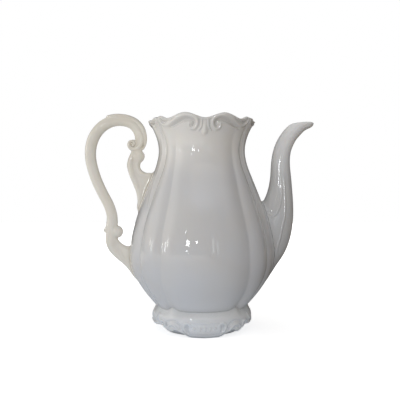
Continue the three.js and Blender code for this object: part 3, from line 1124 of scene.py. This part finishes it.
# Panes of the windows: (turn, rise, (width, height) in metres, radiance, colour), all at one distance.
WINDOW_DISTANCE = 2.2
DAYLIGHT = (0.95, 0.98, 1.0)
WINDOWS = [
    (-25.5, 13.0, (0.22, 0.24), 20, DAYLIGHT),
    (-27.0, 4.5, (0.12, 0.05), 14, DAYLIGHT),
    (-23.5, 1.5, (0.07, 0.04), 14, DAYLIGHT),
    (-11.5, 14.5, (0.12, 0.16), 15, DAYLIGHT),
    (-31.0, 24.0, (0.07, 0.07), 12, DAYLIGHT),
    (14.5, 10.0, (0.12, 0.75), 2.0, (0.85, 0.95, 1.0)),
    (21.5, 7.0, (0.10, 0.60), 1.6, (0.85, 0.95, 1.0)),
    (-74.5, 10.0, (0.05, 0.34), 11, DAYLIGHT),
    (-79.0, 5.0, (0.05, 0.42), 11, DAYLIGHT),
    (-88.0, 9.0, (0.07, 0.36), 11, (1.0, 0.97, 0.90)),
]


def direction(turn, rise):
    """A unit vector turned round from the pot's front and raised, in degrees."""
    a, e = math.radians(turn), math.radians(rise)
    return Vector((math.sin(a) * math.cos(e), -math.cos(a) * math.cos(e), math.sin(e)))


def add_camera():
    camera = bpy.data.objects.new("camera", bpy.data.cameras.new("camera"))
    bpy.context.scene.collection.objects.link(camera)
    back = direction(CAMERA_TURN, 0) * CAMERA_DISTANCE
    camera.location = back + Vector((AXIS_X / 1000, 0, CAMERA_HEIGHT))
    camera.rotation_euler = (math.pi / 2, 0, math.radians(CAMERA_TURN))
    camera.data.sensor_width = 36
    camera.data.lens = 56.25
    camera.data.shift_x = -0.0045
    camera.data.shift_y = 0.01
    camera.data.clip_start = 0.01
    bpy.context.scene.camera = camera


def add_pane(turn, rise, size, radiance, colour):
    """A small rectangle of light facing the pot, seen only mirrored in its glaze."""
    data = bpy.data.lights.new("pane", "AREA")
    data.shape = "RECTANGLE"
    data.size, data.size_y = size
    data.energy = radiance * math.pi * size[0] * size[1]
    data.color = colour
    pane = bpy.data.objects.new("pane", data)
    bpy.context.scene.collection.objects.link(pane)
    back = direction(turn, rise)
    pane.location = back * WINDOW_DISTANCE + Vector((AXIS_X / 1000, 0, 0.1))
    pane.rotation_euler = back.to_track_quat("Z", "Y").to_euler()
    pane.visible_diffuse = False


def add_room():
    """The world: soft patches of light, seen brighter in the glaze, and plain white to the camera."""
    world = bpy.data.worlds.new("room")
    bpy.context.scene.world = world
    world.use_nodes = True
    world.node_tree.nodes.clear()
    s = Nodes(world.node_tree, "Generated")

    def towards(turn, rise, low, high, start=0.0, end=1.0):
        dot = s.add("ShaderNodeVectorMath", Vector=s.place)
        dot.operation = "DOT_PRODUCT"
        dot.inputs[1].default_value = direction(turn, rise)
        low, high = (math.cos(math.radians(a)) for a in (low, high))
        return s.ramp(dot.outputs["Value"], low, high, start, end)

    room = ROOM_DARK + (1,)
    for turn, rise, spread, colour in ROOM_LIGHT:
        patch = s.mix(towards(turn, rise, spread, 0), (0, 0, 0, 1), colour + (1,))
        room = s.mix(1.0, room, patch, "ADD")
    turn, half, top = DARK_SIDE
    dark = s.math("MULTIPLY", towards(turn, 0, half + 8, half - 4), towards(0, -90, 94 + top, 86 + top))
    gain = towards(0, 90, 96, 60, GLAZE_GAIN_LOW, GLAZE_GAIN_HIGH)
    mirrored = s.mix(1.0, room, gain, "MULTIPLY")
    mirrored = s.mix(dark, mirrored, DARK_SIDE_COLOUR + (1,))
    room = s.mix(s.seen_by("Glossy"), room, mirrored)
    room = s.mix(s.seen_by("Camera"), room, (1, 1, 1, 1))
    background = s.add("ShaderNodeBackground", Color=room)
    s.links.new(background.outputs[0], s.add("ShaderNodeOutputWorld").inputs[0])


def add_studio():
    bpy.context.scene.view_settings.view_transform = "Standard"
    bpy.ops.mesh.primitive_plane_add(size=6, location=(0, 0, 0))
    floor = bpy.context.object
    floor.name = "floor"
    dress([floor], paper())
    add_room()
    for pane in WINDOWS:
        add_pane(*pane)
    add_camera()


# ---- The whole scene -------------------------------------------------------------------------------

# The one white glaze is given a tint of its own on body, foot, spout and handle, as painted light: cool on
# foot and spout, warm cream on the handle where the warm light from the left falls. All are fitted to this
# light, not known.
foot_white = (0.94, 0.955, 0.965)
white_glaze = porcelain("white_glaze", (0.95, 0.94, 0.915), (0.785, 0.79, 0.80), (0.40, 0.40, 0.38))
foot_glaze = porcelain("foot_glaze", foot_white, foot_white, (0.36, 0.38, 0.39), biscuit_below=0.0006)
spout_glaze = porcelain("spout_glaze", (0.97, 0.98, 0.98), (0.75, 0.76, 0.765), (0.6, 0.61, 0.62))
# painted warm light: the handle's cream tint
cream_glaze = porcelain("cream_glaze", (0.94, 0.905, 0.82), (0.95, 0.915, 0.84), (0.70, 0.65, 0.55))
dress([build_body()], white_glaze)
dress([build_foot()], foot_glaze)
dress([build_foot_joint()], white_glaze)
dress(build_spout(), spout_glaze)
dress(build_handle(), cream_glaze)
add_studio()
